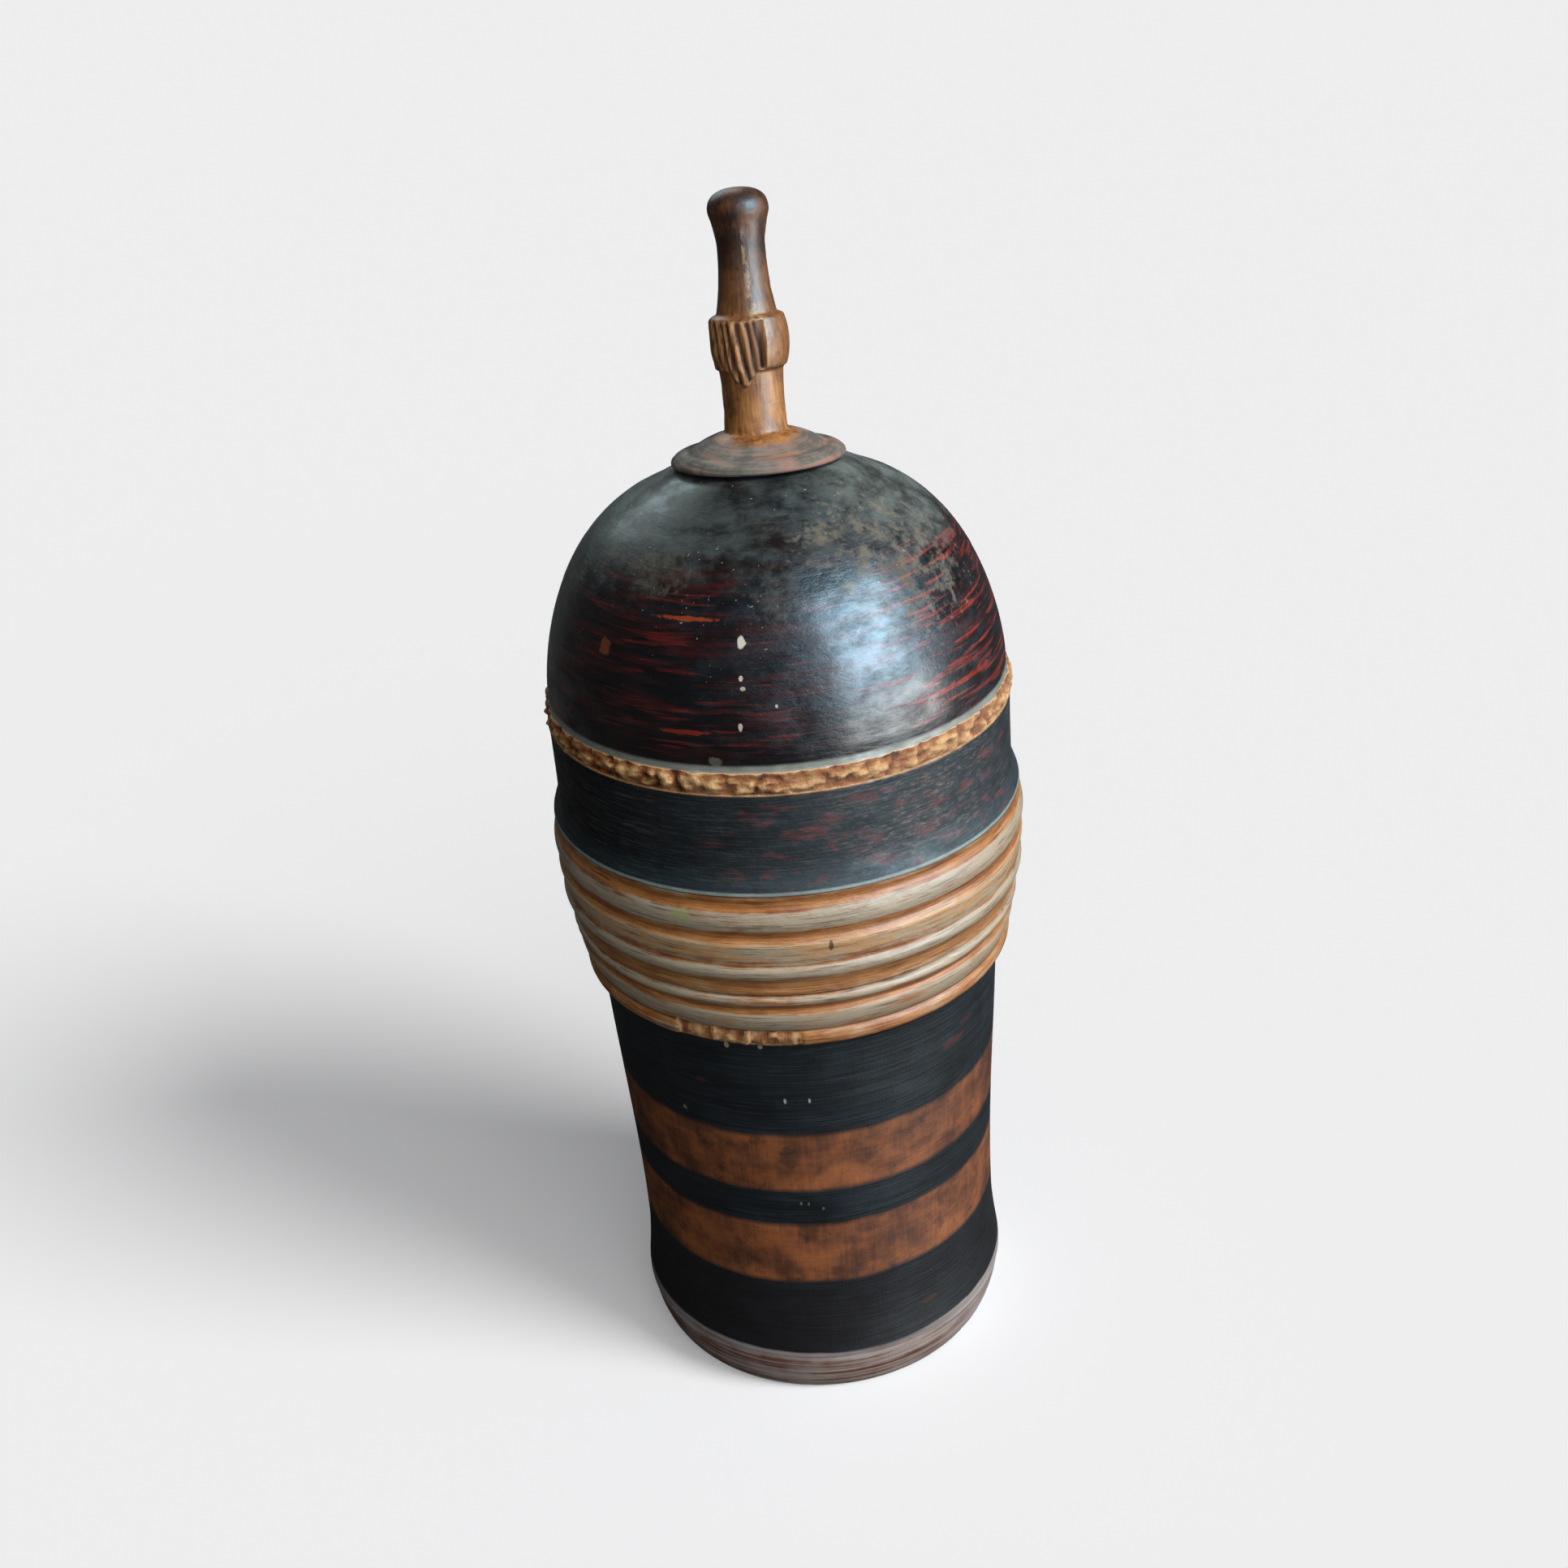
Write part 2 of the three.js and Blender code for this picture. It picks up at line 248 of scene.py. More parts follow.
# %% [markdown]
# The body. A stretch of the lip below its apron has crumbled away in three bites, which show the
# pale, short-grained wood inside. Elsewhere the arrises only have nicks, and the whole turning has
# drawn in a little across the grain, as seasoned wood does.

# %% Wear of the body
LIP = (94.2, 98.0)
LIP_BITES = ((-33.6, -25.2), (-23.6, -16.4), (-14.4, -2.2))
BITE_DEPTH = 1.15
# Inside these radii there is no lip to break, and no outside that has drawn in
LIP_INSIDE = 42.0
SIDE_INSIDE = 39.3


def body_wear(angle, radius, z, crest, point):
    edge = angle + 0.9 * fuzz(point, 1.3)
    bite = max(window(edge, low, high, 0.9) for low, high in LIP_BITES)
    bite *= window(z + 0.5 * fuzz(point, 1.6, 9.0), *LIP, 0.35) if radius > LIP_INSIDE else 0.0
    grain = 0.6 + 0.5 * fuzz(point, 1.6, 3.2) + 0.4 * fuzz(point, 0.8, 1.6, 3.0)
    drawn = shrinking(point, SHRUNK, 38.0) if radius > SIDE_INSIDE else 0.0
    out = -bite * BITE_DEPTH * grain - nicks(point, crest, 0.35) - drawn
    # The deeper the bite, the rawer the wood, which the finish paints darker as painted shade
    return out, bite * max(0.15, min(1.0, 0.1 + 0.85 * grain))


# %% [markdown]
# The lid. The round bead between the upright band and the dome has flaked off all round, and left a
# crumbly ledge: blocks of short grain with dark splits between them. The splits fall at uneven
# places, which a seeded draw gives once and keeps. The crown and its seat slope back with age.

# %% Wear of the lid
BEAD = (149.6, 154.1)
BEAD_RADIUS = 45.4
BEAD_STAND = 1.3
EDGE = (154.0, 155.4)
# Inside this radius there is no bead or edge
BEAD_INSIDE = 43.5
# The hollow, which has not drawn in, lies inside this radius and below this height
HOLLOW_RADIUS = 40.0
HOLLOW_TOP = 184.0
CONE_FOOT = 191.2
CONE_RADIUS = 27.0
SEAT_RADIUS = 16.3
CROWN_SLOPE = math.radians(4.4)

draw = random.Random(11)
splits = []
place = -180.0
while place < 180:
    splits.append((place, draw.uniform(0.3, 0.9), draw.uniform(-3.5, 3.5)))
    place += draw.uniform(4.0, 13.0)
print("splits in the broken bead:", len(splits))


def bead_stand(angle, z, point):
    """How far the broken bead stands out of its ledge, from 0 to 1."""
    height = (z - BEAD[0]) / (BEAD[1] - BEAD[0])
    block = 0.58 + 0.55 * fuzz(point, 3.0, 2.4) + 0.6 * fuzz(point, 1.7, 1.2, 5.0)
    block += 0.2 * fuzz(point, 0.7, 1.0, 9.0)
    split = 0.0
    for place, depth, slant in splits:
        apart = abs(angle + slant * (height - 0.5) + 0.7 * fuzz(point, 1.5, 1.5, 2.0) - place)
        if apart < 2:
            split = max(split, depth * (1 - rise(apart, 0.2, 0.9)))
    belly = math.sin(math.pi * max(0.0, min(1.0, height))) ** 0.5
    return max(0.0, min(1.0, (block - 0.75 * split) * (0.45 + 0.55 * belly)))


def lid_wear(angle, radius, z, crest, point):
    on_bead = window(z, BEAD[0] + 0.15, BEAD[1] - 0.15, 0.1) if radius > BEAD_INSIDE else 0.0
    if on_bead:
        stand = bead_stand(angle, z, point)
        # The lower the broken bead lies, the rawer it is, which the finish paints darker as painted shade
        return on_bead * (BEAD_RADIUS + BEAD_STAND * stand - radius), on_bead * (1.0 - 0.7 * stand)
    edge = window(z, *EDGE, 0.4) if radius > BEAD_INSIDE else 0.0
    chip = edge * 0.3 * max(0.0, fuzz(point, 2.2, 2.0, 4.0) - 0.1)
    outside = radius > HOLLOW_RADIUS or z > HOLLOW_TOP
    drawn = shrinking(point, SHRUNK, 41.0, 3.0) if outside else 0.0
    return -chip - nicks(point, crest, 0.4) - drawn, 0.0


# %% [markdown]
# The finial. Half of its collar has been snapped off, and the wood has torn along the grain: long
# slanting fibres with dark furrows between them, a splinter that runs down over the stem, and a
# straight edge on the right, where the sound half of the collar still stands proud.

# %% Wear of the finial
finial_section, finial_axis = sections["finial"]
# The disc alone reaches beyond this radius in mm, and its lowest edge is the finial's seat
DISC_RIM = 10.0
seat = min(z for r, z in finial_section if r > DISC_RIM)
STEM_FOOT = seat + 5.6
COLLAR = (STEM_FOOT + 11.4, STEM_FOOT + 21.4)
TORN = (-118.0, 22.0)
SPLINTER = (-14.0, 2.9)
# One fibre in degrees, and in mm the radius of the torn face and what its hollows take from it
FIBRE = 15.0
TORN_RADIUS = 7.35
FURROW_DEPTH = 0.75
RECESS_DEPTH = 0.55
TAIL_DEPTH = 0.45
# Beyond this radius the finial is disc, and not stem
DISC_INSIDE = 9.0


def finial_wear(angle, radius, z, crest, point):
    if radius > DISC_INSIDE or z < STEM_FOOT:
        return -nicks(point, crest, 0.3) - shrinking(point, 0.03, 9.0), 0.0
    # The torn face hangs lowest at the splinter.
    fall = 1 - rise(abs(angle - SPLINTER[0]), 0.0, 34.0)
    foot = COLLAR[0] + 0.5 - SPLINTER[1] * fall + 0.35 * fuzz(point, 1.1, 20.0)
    across = window(angle, TORN[0], TORN[1], 2.2)
    upward = rise(z, foot - 0.35, foot + 0.25) * (1 - rise(z, COLLAR[1] - 1.3, COLLAR[1] - 0.5))
    torn = across * upward
    if torn > 0:
        strand = (angle + 1.1 * (z - COLLAR[0]) + 7.0 * fuzz(point, 2.6, 9.0)) / FIBRE
        ridge = 0.5 + 0.5 * math.cos(math.tau * strand)
        fine = 0.5 + 0.5 * fuzz(Vector((strand * 3.3, 0, z)), 1.0, 14.0)
        furrow = 0.75 * (1 - ridge) + 0.35 * (1 - fine)
        recess = RECESS_DEPTH * rise(angle, 8.0, TORN[1] - 3.0)
        face = TORN_RADIUS - FURROW_DEPTH * furrow - recess
        face -= 0.12 * rise(abs(z - COLLAR[0] - 5), 3.5, 5.5)
        face -= TAIL_DEPTH * (1 - rise(z, foot + 0.2, foot + 3.4))
        # The rawness is highest in the furrows and the recess, which the finish paints dark as painted
        # shade
        return torn * (face - radius), torn * (0.35 + 0.65 * max(furrow, recess))
    dents = 0.16 * max(0.0, fuzz(point, 2.3, 2.9, 1.0) - 0.15)
    return -dents - nicks(point, crest, 0.25), 0.0


# %% [markdown]
# A material is built from sockets. Written out node by node it is long and hard to read, so a small
# class wraps a socket and lets Python's own plus, minus and times add the Math nodes. One method adds
# any other node, to a material or to the sky: its settings first, then the values or links of its
# sockets.

# %% A socket that can be reckoned with
# How deep the finest relief is, in metres, and how strongly the bare shader and its coat shine
BUMP_DEPTH = 0.00012
SPECULAR = 0.3
COAT_ROUGHNESS = 0.24


def colour(red, green, blue):
    """A colour seen on screen, 0 to 255, as the linear value that a shader takes."""
    parts = [c / 255 for c in (red, green, blue)]
    return (*[c / 12.92 if c <= 0.04045 else ((c + 0.055) / 1.055) ** 2.4 for c in parts], 1.0)


class Wire:
    """A node's output, with arithmetic."""

    def __init__(self, tree, socket):
        self.tree = tree
        self.socket = socket

    def math(self, operation, *others):
        inputs = dict(enumerate((self, *others)))
        return self.tree.node("ShaderNodeMath", {"operation": operation}, inputs)

    def __add__(self, other):
        return self.math("ADD", other)

    def __sub__(self, other):
        return self.math("SUBTRACT", other)

    def __mul__(self, other):
        return self.math("MULTIPLY", other)

    def __neg__(self):
        return self.math("MULTIPLY", -1.0)

    def __rsub__(self, other):
        return -self + other

    __radd__ = __add__
    __rmul__ = __mul__

    def most(self, other):
        return self.math("MAXIMUM", other)

    def over(self, low, high):
        """0 where this is below low and 1 where it is above high."""
        sockets = {"Value": self, "From Min": low, "From Max": high}
        return self.tree.node("ShaderNodeMapRange", {"interpolation_type": "SMOOTHSTEP"}, sockets)

    def between(self, low, high, fade):
        """1 between low and high, fading over a fade at both."""
        half = fade / 2
        return self.over(low - half, low + half) * (1 - self.over(high - half, high + half))


class Tree:
    """A node tree under construction."""

    def __init__(self, owner):
        owner.use_nodes = True
        self.inside = owner.node_tree

    def node(self, kind, settings, sockets, output=0):
        node = self.inside.nodes.new(kind)
        for key, value in settings.items():
            setattr(node, key, value)
        for key, value in sockets.items():
            self.set(node.inputs[key], value)
        return node if output is None else Wire(self, node.outputs[output])

    def set(self, socket, value):
        """Gives a socket a link or a constant."""
        if isinstance(value, Wire):
            self.inside.links.new(value.socket, socket)
        else:
            socket.default_value = value


class Finish(Tree):
    """A material under construction, with the coordinates that all of these finishes use."""

    def __init__(self, name):
        self.material = bpy.data.materials.new(name)
        super().__init__(self.material)
        self.shader = self.inside.nodes["Principled BSDF"]
        self.place = self.node("ShaderNodeTexCoord", {}, {}, "Object")
        parts = self.node("ShaderNodeSeparateXYZ", {}, {0: self.place}, None)
        self.x, self.y, self.z = (Wire(self, parts.outputs[i]) * (1 / MM) for i in range(3))
        self.angle = self.x.math("ARCTAN2", -self.y) * math.degrees(1)
        self.crest = self.node("ShaderNodeAttribute", {"attribute_name": "crest"}, {}, "Fac")
        self.raw = self.node("ShaderNodeAttribute", {"attribute_name": "raw"}, {}, "Fac")

    def grain(self, across, along, detail=3.0, rough=0.55, shift=0.0):
        """Noise from 0 to 1 in lumps of a size across and a size along the axis, in mm."""
        scale = (1 / (across * MM), 1 / (across * MM), 1 / (along * MM))
        spread = self.node(
            "ShaderNodeVectorMath", {"operation": "MULTIPLY_ADD"},
            {0: self.place, 1: scale, 2: (shift, shift, shift)},
        )
        sockets = {"Vector": spread, "Scale": 1.0, "Detail": detail, "Roughness": rough}
        return self.node("ShaderNodeTexNoise", {}, sockets, "Fac")

    def mix(self, base, coat, share):
        """One colour laid over another by a share."""
        sockets = {0: share, 6: base, 7: coat}
        return self.node("ShaderNodeMix", {"data_type": "RGBA"}, sockets, 2)

    def spot(self, angle, z, wide, high, ragged=0.6):
        """A mark centred at an angle and a height, so many degrees wide and mm high, ragged at its edge."""
        across = (self.angle - angle) * (2 / wide)
        up = (self.z - z) * (2 / high)
        far = (across * across + up * up).math("SQRT") + (self.grain(1.4, 1.2) - 0.5) * (2 * ragged)
        return 1 - far.over(0.75, 1.15)

    def marked(self, skin, marks, ragged=0.6):
        """A colour with small marks laid over it, one after another."""
        for angle, z, wide, high, tint, share in marks:
            skin = self.mix(skin, colour(*tint), self.spot(angle, z, wide, high, ragged) * share)
        return skin

    def dress(self, values):
        """Gives the shader's sockets their links or constants, by name."""
        for key, value in values.items():
            self.set(self.shader.inputs[key], value)
        return self.material

    def lay(self, skin, rough, relief, coat=0.0):
        """Dresses the shader with colour, roughness, coat and a bump that reads the relief."""
        sockets = {"Height": relief, "Distance": BUMP_DEPTH, "Strength": 1.0}
        return self.dress({
            "Base Color": skin,
            "Roughness": rough,
            "Specular IOR Level": SPECULAR,
            "Coat Weight": coat,
            "Coat Roughness": COAT_ROUGHNESS,
            "Normal": self.node("ShaderNodeBump", {}, sockets, "Normal"),
        })


# %% [markdown]
# Body and lid share two finishes. Bare wood on the mouldings is orange in the hollows, where old
# lacquer stays, and golden where it was rubbed to a shine. Its crests are chalky grey, partly from
# wear and dust and partly a painted reflection of the sky, and its deepest hollows are darkened as
# painted shade. Raw wood, where a piece has broken off, is matt ochre, painted as lit where it stands
# out and tan to nearly black as painted shade where it lies deeper, in its pits. Small marks lie where
# the real ones do.

# %% Finishes that body and lid share
ORANGE = colour(202, 140, 76)
RUST = colour(144, 82, 42)
HONEY = colour(232, 188, 134)
CHALK_AND_SHEEN = colour(186, 181, 164)
SOOT_AND_SHADE = colour(58, 32, 18)
LIT_OCHRE = colour(228, 184, 128)
TAN_AND_SHADE = colour(156, 96, 48)
PIT_SHADE = colour(62, 38, 22)
BLACK = colour(7, 6, 9)
# The rings of the mouldings, from the lip up: foot and top in mm, and how chalky or golden each is.
# The chalky grey is partly wear and dust and partly a painted reflection of the sky
CHALK_AND_SHEEN_RINGS = (
    (94.6, 97.9, 0.15), (98.2, 102.8, 0.62), (105.1, 107.1, 0.6), (107.3, 108.3, 0.3), (111.8, 114.4, 0.8),
    (114.6, 116.2, 0.5), (116.2, 119.6, 0.36), (122.4, 126.6, 0.7), (129.0, 130.0, 0.2),
)
GOLDEN_RINGS = ((98.2, 102.8, 0.35), (105.0, 111.4, 0.15), (116.2, 119.9, 0.75))


def ringed(z, rings, fade):
    """The share of whichever ring a height lies on."""
    return sum(z.between(low, high, fade) * share for low, high, share in rings)


def moulding_wood(finish):
    """Colour of the rubbed mouldings: orange hollows, grey chalk on the crests that is partly a painted
    reflection, painted shade in the deepest hollows, darker streaks along the turning.
    """
    mix, grain = finish.mix, finish.grain
    streak = grain(15, 0.55, 5.0, 0.65)
    thread = grain(11, 0.3, 3.0, 0.6, 11.0)
    patch = grain(8, 3, 4.0, 0.65, 5.0)
    wood = mix(RUST, ORANGE, (streak * 0.7 + patch * 0.6).over(0.45, 0.8))
    wood = mix(wood, HONEY, ringed(finish.z, GOLDEN_RINGS, 0.9) * (0.4 + patch * 0.9))
    # Chalk on the listed rings and on the crests: partly wear and dust, partly a painted reflection of the
    # sky on faces that look up
    chalk_and_sheen = ringed(finish.z, CHALK_AND_SHEEN_RINGS, 0.7) * 0.9 + finish.crest * 0.14
    chalk_and_sheen = chalk_and_sheen + streak * 1.9 + patch * 1.5 + thread * 0.9
    wood = mix(wood, CHALK_AND_SHEEN, chalk_and_sheen.over(2.25, 2.85) * 0.85)
    lines = thread.over(0.55, 0.64) * 0.6
    # Painted shade: the deepest hollows, under the beads, go dark
    hollow = (-finish.crest + streak * 0.4).over(0.72, 1.02) * 0.9
    return mix(wood, SOOT_AND_SHADE, lines.most(hollow))


def raw_wood(finish):
    """Colour of freshly broken wood, painted as lit where it stands out and dark with painted shade in its
    pits.
    """
    lump = finish.grain(3.0, 2.4, 4.0, 0.6)
    strand = finish.grain(1.6, 0.5, 4.0, 0.6, 3.0)
    # Painted light and shade: the rawer, that is the deeper, the wood, the more it turns from lit ochre to
    # tan
    fresh = finish.mix(LIT_OCHRE, TAN_AND_SHADE, (finish.raw * 0.8 + lump * 0.5 + strand * 0.4).over(0.7, 1.1))
    # Painted shade: the deepest pits and splits go nearly black
    pit_shade = finish.raw + (lump - 0.5) * 0.6 + (strand - 0.5) * 0.3
    return finish.mix(fresh, PIT_SHADE, pit_shade.over(0.8, 1.02) * 0.85)


# %% [markdown]
# The body's lacquer lies in bands that were laid on the turning lathe: dark, brown, dark, brown,
# dark. Their edges are soft and nearly level. The brown bands let the upright grain through, and the
# dark ones show fine rings from the brush. The foot is bare, with rings from the turning tool.

# %% The body's finish
BROWN_BANDS = ((31.4, 46.6), (56.1, 70.3))
LACQUER_FOOT = (11.7, 12.5)
LACQUER_TOP = (93.6, 94.2)
ANKLE = (10.6, 12.3)
LOWEST_BAND_TOP = (28, 34)
UMBER = colour(82, 45, 25)
AMBER = colour(162, 96, 50)
SMOKE = colour(44, 26, 18)
RUBBED_GOLD = colour(176, 128, 84)
BLUE_BLACK = colour(38, 48, 58)
BLUE_DUST = colour(76, 88, 92)
RED_BROWN = colour(70, 28, 22)
BROWN_BLACK = colour(26, 17, 17)
FOOT_BROWN = colour(108, 62, 42)
FOOT_GREY = colour(176, 166, 162)
ANKLE_GREY = colour(134, 138, 144)
RIGHT_SIDE_HIGHLIGHT = colour(190, 188, 192)
# Small marks: angle from the front in degrees, height in mm, width in degrees, height in mm, colour as
# seen on screen, and how strongly it shows
BODY_MARKS = (
    (45, 82.5, 11, 1.8, (96, 34, 28), 0.5),
    (51, 85.5, 6, 1.2, (90, 34, 28), 0.4),
    (-7.5, 79.5, 0.9, 1.4, (190, 190, 180), 0.8),
    (-0.8, 79.4, 0.7, 1.2, (180, 180, 172), 0.8),
    (-39, 73.5, 1.6, 1.2, (130, 130, 120), 0.7),
    (33, 18.5, 6, 1.8, (78, 36, 26), 0.4),
    (-31.5, 82.5, 3, 1.6, (84, 38, 28), 0.5),
    (-8, 65, 5.5, 6, (44, 28, 20), 0.55),
    (-5.8, 52.6, 0.7, 0.9, (128, 128, 122), 0.6),
    (-3.6, 52.4, 0.6, 1.0, (118, 118, 114), 0.6),
    (0.6, 51.0, 0.8, 0.8, (124, 124, 118), 0.6),
    (-21.7, 93.2, 1.4, 1.8, (186, 176, 150), 0.9),
    (-12.5, 93.3, 1.2, 1.2, (186, 176, 150), 0.9),
)


def brown_lacquer(finish, cloud):
    """The brown bands: upright grain under thin lacquer, smoky in patches and rubbed in specks."""
    mix, grain = finish.mix, finish.grain
    fibre = grain(0.8, 14, 4.0, 0.6)
    brown = mix(UMBER, AMBER, (fibre * 0.22 + cloud).over(0.4, 0.85))
    brown = mix(brown, SMOKE, grain(4.2, 5, 4.0, 0.7, 8.0).over(0.5, 0.74) * 0.65)
    return mix(brown, RUBBED_GOLD, grain(1.1, 1.4, 3.0, 0.6, 41.0).over(0.68, 0.8) * 0.5)


def dark_lacquer(finish, cloud, ring):
    """The dark bands: rings from the brush, dust in threads, a little red, and browner at the bottom."""
    mix, grain = finish.mix, finish.grain
    thread = grain(11, 0.3, 3.0, 0.65, 14.0).over(0.5, 0.78)
    dark = mix(BLACK, BLUE_BLACK, (ring * 0.8 + cloud * 0.4).over(0.45, 0.95))
    dark = mix(dark, BLUE_DUST, thread * cloud * 0.6)
    dark = mix(dark, RED_BROWN, grain(9, 1.2, 3.0, 0.6, 4.0).over(0.66, 0.8) * 0.5)
    return mix(dark, BROWN_BLACK, (1 - finish.z.over(*LOWEST_BAND_TOP)) * 0.6)


def foot_wood(finish, cloud):
    """The foot: bare wood with turned rings, a grey line at the ankle and a painted highlight on its right
    side.
    """
    mix = finish.mix
    groove = finish.grain(40, 0.9, 3.0, 0.6, 9.0)
    wood = mix(FOOT_BROWN, FOOT_GREY, (groove * 1.1 + cloud * 0.5).over(0.62, 0.95))
    wood = mix(wood, ANKLE_GREY, finish.z.between(*ANKLE, 0.7) * (0.2 + cloud * 0.7))
    # Painted highlight: the right side of the foot, where the sun falls, is paler
    return mix(wood, RIGHT_SIDE_HIGHLIGHT, finish.angle.between(42, 100, 40) * (0.1 + groove * 0.8))


def body_finish():
    finish = Finish("banded_lacquer")
    mix, grain, z, raw = finish.mix, finish.grain, finish.z, finish.raw
    cloud = grain(11, 9, 3.0, 0.6, 2.0)
    ring = grain(34, 0.28, 3.0, 0.7)
    wobble = z + (grain(14, 30, 2.0) - 0.5) * 1.6
    brown = sum(wobble.between(low, high, 1.7) for low, high in BROWN_BANDS)
    skin = mix(dark_lacquer(finish, cloud, ring), brown_lacquer(finish, cloud), brown)
    skin = finish.marked(skin, BODY_MARKS)
    below = 1 - wobble.over(*LACQUER_FOOT)
    above = z.over(*LACQUER_TOP)
    skin = mix(skin, foot_wood(finish, cloud), below)
    skin = mix(skin, moulding_wood(finish), above)
    skin = mix(skin, raw_wood(finish), raw.over(0.1, 0.45))
    lacquer_rough = 0.34 + ring * 0.12 + cloud * 0.14 + brown * 0.08
    rough = lacquer_rough + below.most(above) * (0.5 - lacquer_rough) + raw.over(0.1, 0.5) * 0.3
    relief = ring * 0.5 + grain(0.5, 5, 3.0) * 0.35 + grain(22, 1.1, 3.0, 0.5, 3.0) * 0.5
    return finish.lay(skin, rough, relief - raw * grain(0.6, 3.0, 3.0) * 2.4)


body_material = body_finish()
print("body finish:", len(body_material.node_tree.nodes), "nodes")

# %% [markdown]
# The lid is the showpiece: a dome of black lacquer over red, burnished on the lathe. The red comes
# through in thin level streaks, painted brighter at the lit right, dust films the crown, and drops of
# white paint have dried on the front. A painted highlight runs along the lip of the dome, and a painted
# reflection along its left edge. The upright band below is duller, with scratches, and its lowest edge
# is pale blue, partly rubbed and partly a painted highlight.

# %% The lid's finish
# Heights in mm: where the mouldings end, the band, its pale foot, the bare bead, the edge over it, and
# how far up the dome the red shows
MOULDINGS_TOP = (129.5, 129.9)
BAND = (129.9, 149.6)
PALE_FOOT = (129.7, 130.5)
BARE_BEAD = (149.7, 154.0)
WHITE_EDGE = (153.9, 155.3)
FLUSHED = (158, 187)
STREAKED = (156, 186)
WINE_BLACK = colour(42, 13, 13)
DEEP_WINE = colour(58, 16, 16)
DULL_RED = colour(98, 28, 24)
LIT_RED = colour(158, 50, 34)
INK = colour(22, 29, 36)
GREEN_DUST = colour(112, 122, 118)
BROWN_DUST = colour(104, 96, 82)
LEFT_RIM_REFLECTION = colour(104, 122, 120)
GRIME = colour(146, 134, 110)
SPECK = colour(190, 196, 190)
LIP_HIGHLIGHT = colour(148, 154, 149)
SOFT_BLACK = colour(5, 5, 7)
CHARCOAL = colour(32, 32, 36)
STROKE_GREY = colour(98, 106, 108)
MAROON = colour(108, 40, 36)
SCUFF_GREY = colour(138, 128, 122)
SLATE = colour(54, 72, 80)
SCRATCH = colour(150, 116, 86)
PALE_BLUE_WEAR_AND_HIGHLIGHT = colour(146, 164, 164)
# Drops of paint, bright streaks and stains on the dome, in the same order of values as the body's marks
DOME_MARKS = (
    (-8.3, 176.6, 1.9, 2.3, (222, 222, 214), 0.95),
    (-8.6, 171.0, 0.9, 1.0, (210, 210, 204), 0.9),
    (-8.3, 169.2, 1.3, 0.7, (204, 196, 184), 0.8),
    (-9.2, 162.6, 0.9, 1.4, (210, 210, 200), 0.85),
    (-0.6, 166.0, 0.8, 0.8, (200, 200, 196), 0.9),
    (-47.5, 173.5, 4.0, 3.0, (160, 86, 38), 0.5),
    (-23, 180.2, 17, 0.8, (160, 66, 28), 0.8),
    (-22, 161.4, 13, 0.9, (140, 44, 24), 0.75),
    (47, 161.6, 32, 0.9, (150, 46, 26), 0.7),
    (-15.5, 156.2, 3, 2.0, (128, 130, 118), 0.5),
)
# A greenish stain and a dark chip on the mouldings of the lid
MOULDING_MARKS = (
    (-26.5, 125, 5, 3.6, (170, 172, 124), 0.8),
    (7, 118.6, 1.1, 2.6, (42, 24, 16), 0.8),
)


def dome_lacquer(finish, cloud, ring):
    """Black lacquer over red, which shows in thin level streaks, painted brighter and a little more often
    at the lit right.
    """
    mix, grain, z, angle = finish.mix, finish.grain, finish.z, finish.angle
    dark = mix(BLACK, WINE_BLACK, (cloud * 0.7 + ring * 0.4).over(0.5, 0.8))
    flush = grain(16, 1.6, 3.0, 0.6, 26.0).over(0.46, 0.66) * z.between(*FLUSHED, 5)
    dark = mix(dark, DEEP_WINE, flush * 0.85)
    streak = grain(13, 0.95, 3.0, 0.55, 6.0)
    # A few more red streaks show at the lit right side: painted light
    streak = streak + angle.between(30, 140, 44) * 0.035 + z.between(157, 164, 4) * 0.03
    thread = grain(8, 0.35, 3.0, 0.6, 16.0).over(0.45, 0.6)
    # Painted light: the red is brighter at the lit right side
    lit_side_red = mix(DULL_RED, LIT_RED, angle.between(34, 135, 28))
    red = streak.over(0.555, 0.67) * z.between(*STREAKED, 5)
    dark = mix(dark, lit_side_red, red * (0.35 + thread * 0.6))
    return mix(dark, INK, grain(20, 7, 3.0, 0.6, 9.0).over(0.5, 0.75) * 0.5)


def dusted(finish, skin, film, veil, grime):
    """The dome under its dust: a veil at the crown, brown patches, a painted reflection along the left edge
    broken up by the film, specks.
    """
    mix, grain, spot, z = finish.mix, finish.grain, finish.spot, finish.z
    skin = mix(skin, GREEN_DUST, veil)
    patch = spot(-36, 186, 22, 6, 1.0).most(spot(3, 183, 14, 9, 1.2) * 0.6)
    skin = mix(skin, BROWN_DUST, patch * grain(1.6, 1.6, 4.0, 0.7, 37.0).over(0.3, 0.7) * 0.45)
    # Painted reflection: a grey-teal band along the dome's left edge, where it is seen at a grazing angle
    edge = finish.angle.between(-140, -70, 14) * z.between(160, 190, 18)
    skin = mix(skin, LEFT_RIM_REFLECTION, edge * film * 0.7)
    skin = mix(skin, GRIME, grime * 0.5)
    speck = grain(0.8, 0.8, 2.0, 0.5, 12.0).over(0.71, 0.77) * z.over(160, 185)
    return mix(skin, SPECK, speck * 0.6)


